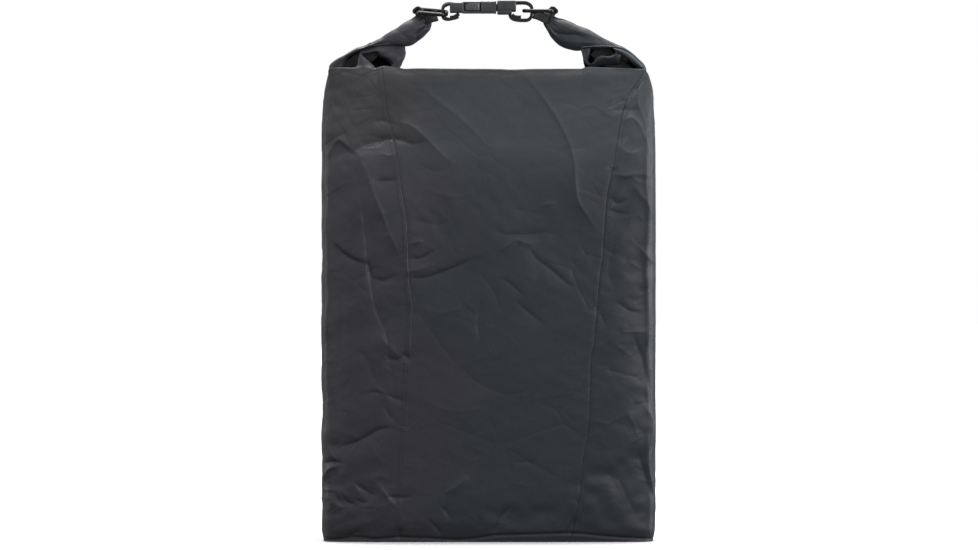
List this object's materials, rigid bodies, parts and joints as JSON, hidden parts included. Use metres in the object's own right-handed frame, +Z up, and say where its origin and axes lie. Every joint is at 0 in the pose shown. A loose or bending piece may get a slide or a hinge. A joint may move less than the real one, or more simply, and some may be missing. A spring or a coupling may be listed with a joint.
{
  "type": "roll-top compression sack",
  "caption": "Soft roll-top sack in coated nylon, its mouth rolled behind the front and the roll ends buckled together into a carry handle.",
  "frame": {"origin": "middle of the base, on the surface that the sack stands on", "axes": "+Z up the sack, +X to the right seen from the front, front panel facing -Y"},
  "size_m": [0.311, 0.118, 0.5073],
  "materials": {
    "shell_fabric": "coated nylon, soft sheen",
    "seam_tape": "smooth film tape",
    "stiffener": "flexible strip",
    "webbing": "woven nylon webbing",
    "ring": "black, glossy",
    "buckle": "fine texture"
  },
  "bodies": {
    "bag": {"front_panel": "shell_fabric", "back_panel": "shell_fabric", "left_gusset": "shell_fabric", "right_gusset": "shell_fabric", "base_panel": "shell_fabric", "front_left_seam_tape": "seam_tape", "front_right_seam_tape": "seam_tape", "back_left_seam_tape": "seam_tape", "back_right_seam_tape": "seam_tape", "base_seam_tape": "seam_tape"},
    "collar": {"rolled_collar": "shell_fabric", "collar_stiffener": "stiffener"},
    "left_roll": {"left_roll_end": "shell_fabric", "left_stiffener": "stiffener", "left_tab": "webbing"},
    "right_roll": {"right_roll_end": "shell_fabric", "right_stiffener": "stiffener", "right_tab": "webbing"},
    "socket_half": {"buckle_socket": "buckle", "socket_strap": "webbing"},
    "plug_half": {"buckle_plug": "buckle", "plug_strap": "webbing"},
    "left_ring_body": {"left_ring": "ring"},
    "right_ring_body": {"right_ring": "ring"},
    "front_latch": {"latch_front": "buckle"},
    "back_latch": {"latch_back": "buckle"}
  },
  "joints": [
    {"name": "collar_tilt", "type": "hinge", "parent": "bag", "child": "collar", "pos_m": [0, -0.002, 0.444], "axis": [1, 0, 0], "range_deg": [0, 60]},
    {"name": "right_roll_open", "type": "hinge", "parent": "collar", "child": "right_roll", "pos_m": [0.137, 0.014, 0.4375], "axis": [0, 1, 0], "range_deg": [0, 50], "deforming": ["latch_front", "latch_back"]},
    {"name": "left_roll_open", "type": "hinge", "parent": "collar", "child": "left_roll", "pos_m": [-0.143, 0.014, 0.4375], "axis": [0, 1, 0], "range_deg": [-50, 0]},
    {"name": "plug_level", "type": "hinge", "parent": "right_roll", "child": "plug_half", "pos_m": [0.0605, 0.014, 0.498], "axis": [0, 1, 0], "range_deg": [-50, 0]},
    {"name": "socket_level", "type": "hinge", "parent": "left_roll", "child": "socket_half", "pos_m": [-0.0665, 0.014, 0.498], "axis": [0, 1, 0], "range_deg": [0, 50]},
    {"name": "left_ring_swing", "type": "hinge", "parent": "socket_half", "child": "left_ring_body", "pos_m": [-0.0665, 0.014, 0.498], "axis": [0, 1, 0], "range_deg": [-9, 3]},
    {"name": "right_ring_swing", "type": "hinge", "parent": "plug_half", "child": "right_ring_body", "pos_m": [0.0605, 0.014, 0.498], "axis": [0, 1, 0], "range_deg": [-11, 8]},
    {"name": "back_latch_squeeze", "type": "hinge", "parent": "plug_half", "child": "back_latch", "pos_m": [0.006, 0.023, 0.501], "axis": [0, 0, 1], "range_deg": [0, 12], "stiffness_Nm_per_rad": 0.3},
    {"name": "front_latch_squeeze", "type": "hinge", "parent": "plug_half", "child": "front_latch", "pos_m": [0.006, 0.005, 0.501], "axis": [0, 0, 1], "range_deg": [-12, 0]}
  ],
  "couplings": [
    {"joint": "left_roll_open", "follows": "right_roll_open", "ratio": -1},
    {"joint": "plug_level", "follows": "right_roll_open", "ratio": -1},
    {"joint": "socket_level", "follows": "right_roll_open", "ratio": 1},
    {"joint": "front_latch_squeeze", "follows": "back_latch_squeeze", "ratio": -1}
  ]
}
